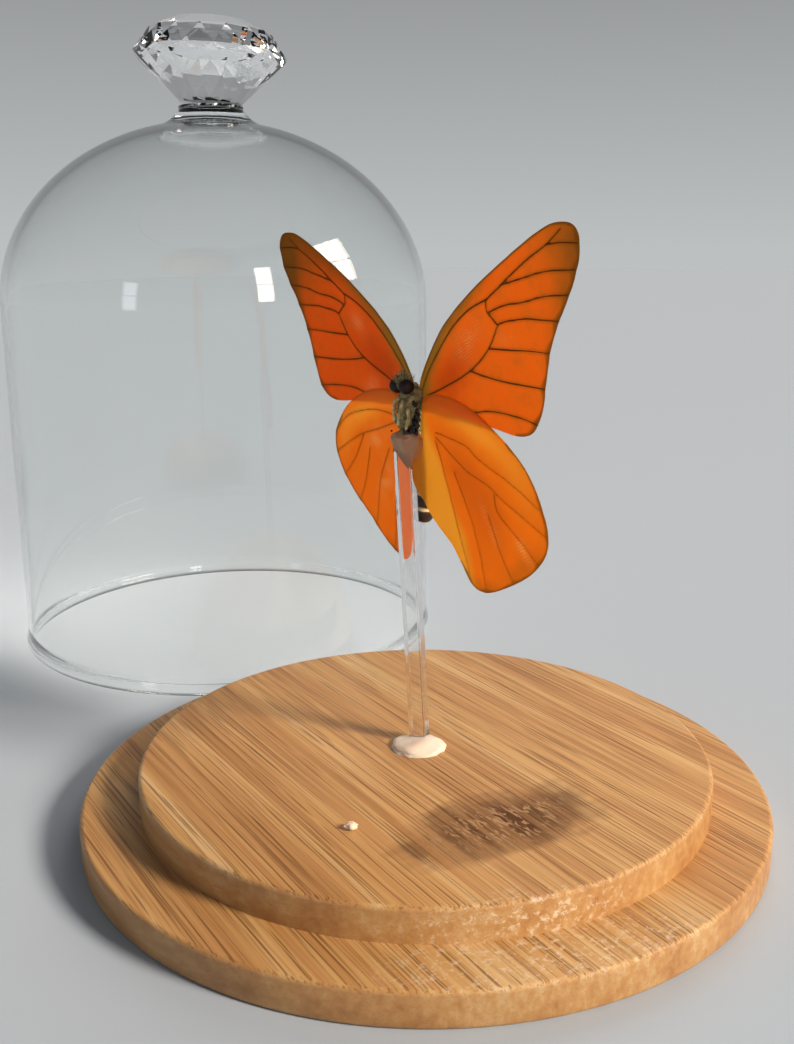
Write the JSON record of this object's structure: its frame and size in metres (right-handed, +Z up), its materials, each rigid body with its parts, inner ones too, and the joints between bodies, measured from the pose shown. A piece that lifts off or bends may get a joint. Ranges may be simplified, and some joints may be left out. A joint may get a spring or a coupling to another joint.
{
  "type": "butterfly specimen dome",
  "caption": "Orange butterfly with open wings glued on a leaning clear rod over a stepped round bamboo base; its glass bell dome with a cut knob stands lifted off behind.",
  "frame": {"origin": "centre of the bamboo base's underside, on the surface that base and dome stand on", "axes": "+Z is up; -Y faces the viewer's side, where the butterfly's belly and right wings are; +X is to the viewer's right. The lifted dome stands at -X, +Y."},
  "size_m": [0.1494, 0.1988, 0.14],
  "materials": {
    "carbonised_bamboo": "satin",
    "clear_glass": "polished",
    "dark_metal": "gloss",
    "clear_acrylic": "clear gloss",
    "hot_glue": "satin",
    "insect_fur": "matt, hairy",
    "insect_eye": "dull gloss",
    "insect_shell": "matt",
    "insect_leg": "matt",
    "forewing_scales": "matt, translucent",
    "hindwing_scales": "matt, translucent"
  },
  "bodies": {
    "root": {"base": "carbonised_bamboo", "dome_glass": "clear_glass", "knob": "clear_glass", "knob_washer": "dark_metal", "rod": "clear_acrylic", "glue_foot": "hot_glue", "glue_top": "hot_glue", "glue_crumb": "hot_glue", "thorax": "insect_fur", "head": "insect_fur", "eye_left": "insect_eye", "eye_right": "insect_eye", "abdomen": "insect_shell", "forewing_left": "forewing_scales", "forewing_right": "forewing_scales", "hindwing_left": "hindwing_scales", "hindwing_right": "hindwing_scales", "leg_1": "insect_leg", "leg_2": "insect_leg", "leg_3": "insect_leg", "leg_4": "insect_leg"}
  },
  "joints": []
}
